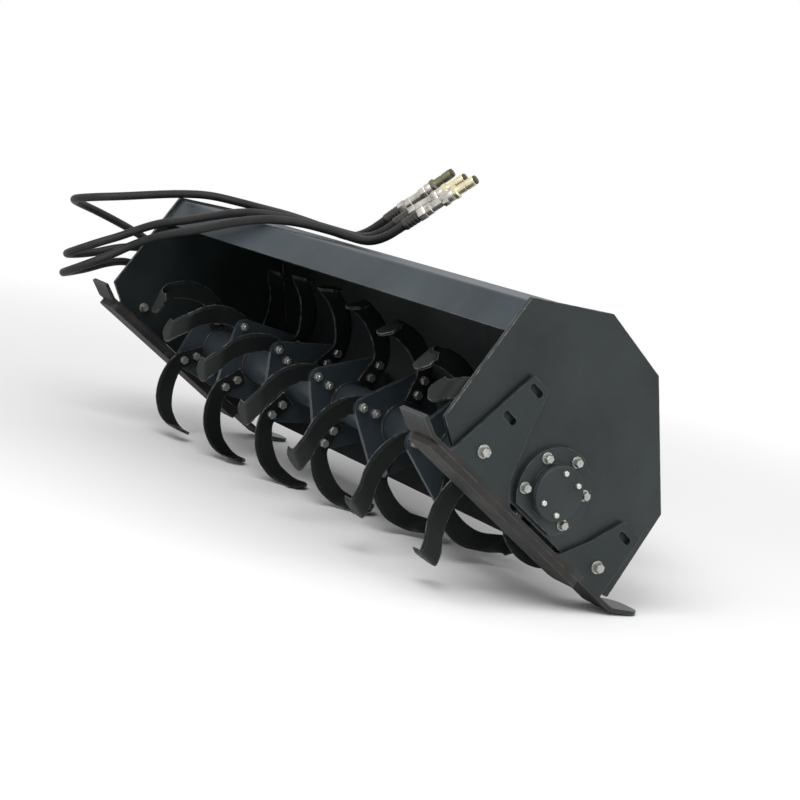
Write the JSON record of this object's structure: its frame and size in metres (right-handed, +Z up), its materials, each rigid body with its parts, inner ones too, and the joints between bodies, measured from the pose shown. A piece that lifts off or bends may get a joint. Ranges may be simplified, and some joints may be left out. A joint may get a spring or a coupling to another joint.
{
  "type": "rotary tiller",
  "caption": "Hydraulic rotary tiller for a loader: folded hood between end plates, tined rotor, adjustable skids, side drive and hoses with couplers.",
  "frame": {"origin": "bottom centre of the bounding box of the rigid pieces, on the floor", "axes": "+X along the rotor towards the bearing end, +Y to the rear where the loader plate is, +Z up; the machine is stored tipped back as it parks"},
  "size_m": [2.0881, 0.9862, 0.9221],
  "materials": {
    "frame_paint": "satin dark charcoal paint, dusty",
    "hood_paint": "satin slate grey paint, dusty",
    "rotor_paint": "dark paint worn at the flange edges",
    "tine_steel": "dark paint with bare forged edges",
    "skid_steel": "scuffed paint over bare steel",
    "cast_housing": "painted cast iron",
    "zinc_fitting": "zinc plated",
    "coupler_brass": "yellow zinc plate",
    "hose_rubber": "matte black hose cover"
  },
  "bodies": {
    "frame": {"end_plate_right": "frame_paint", "end_plate_left": "frame_paint", "hood_deck": "hood_paint", "hood_rear": "hood_paint", "bearing_housing": "cast_housing", "bearing_cap": "cast_housing", "chain_case": "frame_paint", "chain_cover": "frame_paint", "drive_motor": "cast_housing", "motor_ports": "zinc_fitting", "mount_plate": "frame_paint", "mount_gussets": "frame_paint", "hose_1": "hose_rubber", "coupler_1": "coupler_brass", "hose_2": "hose_rubber", "coupler_2": "coupler_brass", "hose_3": "hose_rubber", "coupler_3": "coupler_brass"},
    "rotor": {"rotor_shaft": "rotor_paint", "tines_1": "tine_steel", "tines_2": "tine_steel", "tines_3": "tine_steel", "tines_4": "tine_steel", "tines_5": "tine_steel", "tines_6": "tine_steel", "tines_7": "tine_steel"},
    "skid_right": {"skid_right": "skid_steel", "wear_bar_right": "skid_steel"},
    "skid_left": {"skid_left": "skid_steel", "wear_bar_left": "skid_steel"}
  },
  "joints": [
    {"name": "rotor_spin", "type": "hinge", "parent": "frame", "child": "rotor", "pos_m": [0.087, -0.08252, 0.27826], "axis": [1, 0, 0], "continuous": true},
    {"name": "skid_right_drop", "type": "slide", "parent": "frame", "child": "skid_right", "axis": [0, -0.5434, -0.8395], "range_m": [0, 0.092]},
    {"name": "skid_left_drop", "type": "slide", "parent": "frame", "child": "skid_left", "axis": [0, -0.5434, -0.8395], "range_m": [0, 0.092]}
  ]
}
